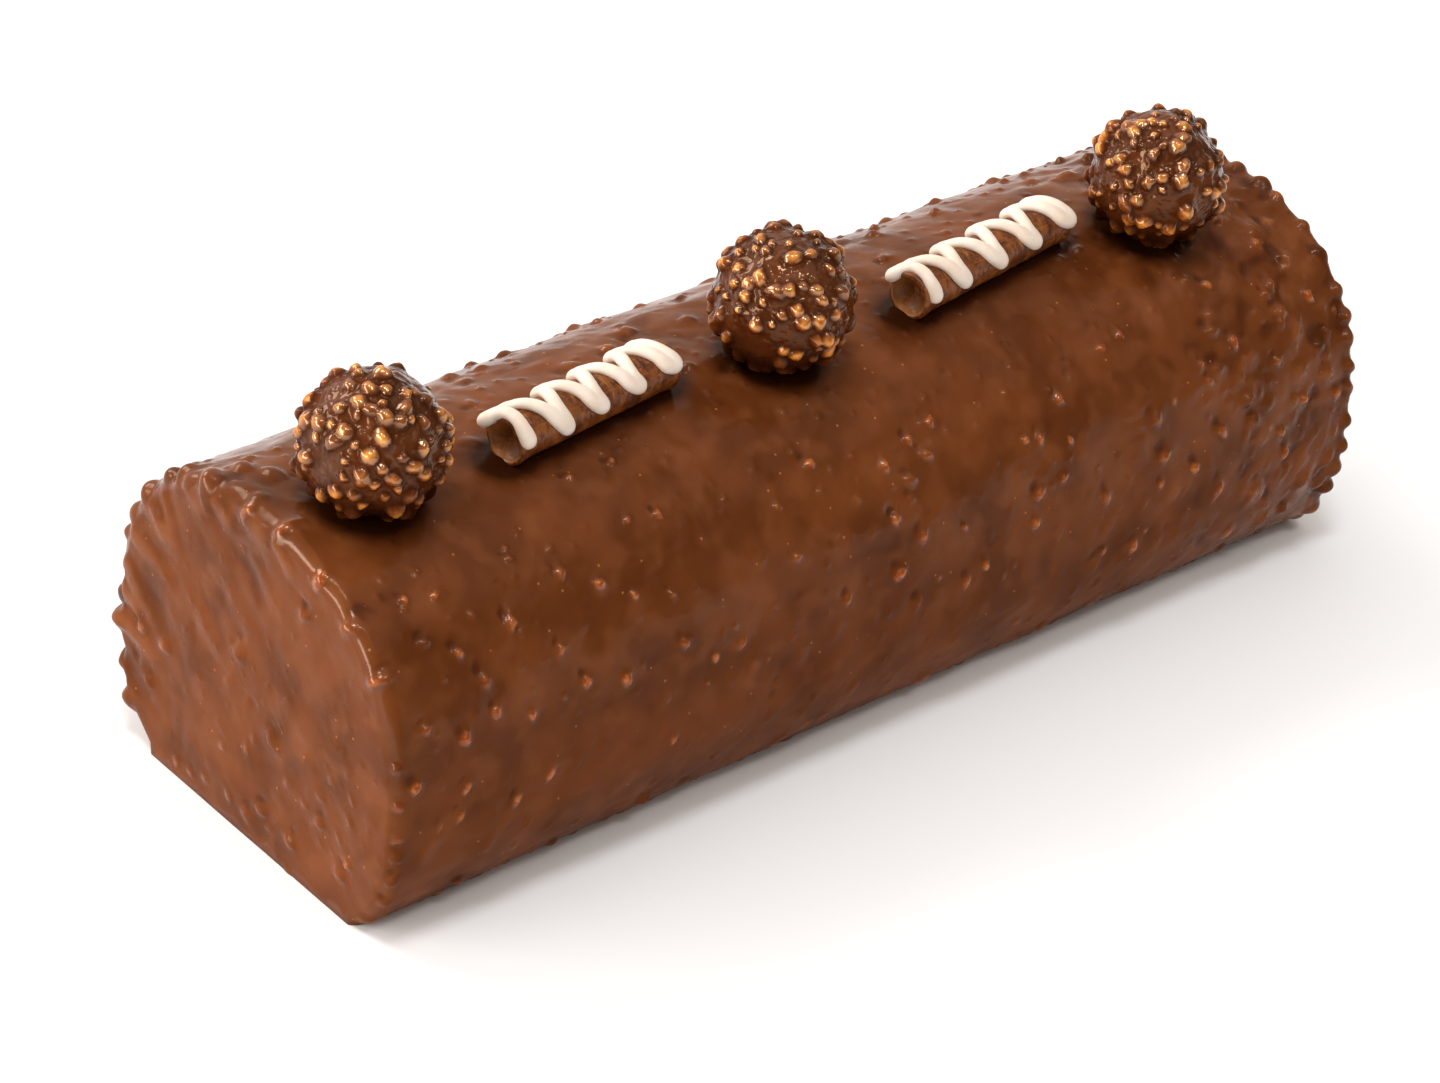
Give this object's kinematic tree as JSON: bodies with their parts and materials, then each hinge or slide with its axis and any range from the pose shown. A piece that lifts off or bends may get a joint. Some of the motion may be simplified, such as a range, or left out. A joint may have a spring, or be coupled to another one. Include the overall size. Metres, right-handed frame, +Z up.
{
  "type": "swiss roll",
  "caption": "Whole swiss roll cake glazed all over with nut chocolate, flat underneath, topped with nut-studded chocolate balls and iced wafer rolls.",
  "frame": {"origin": "middle of the whole's box, on the flat underside", "axes": "+X along the roll, -Y towards the side that the toppings lean to, +Z up"},
  "size_m": [0.269, 0.0958, 0.1047],
  "materials": {
    "nut_glaze": "satin milk chocolate with chopped nuts",
    "ball_coating": "glossy milk chocolate over chopped nuts",
    "wafer": "marbled baked wafer with icing",
    "icing": "thick set icing"
  },
  "bodies": {
    "root": {"glazed_roll": "nut_glaze", "nut_ball_left": "ball_coating", "nut_ball_middle": "ball_coating", "nut_ball_right": "ball_coating", "wafer_roll_left": "wafer", "wafer_roll_right": "wafer"}
  },
  "joints": []
}
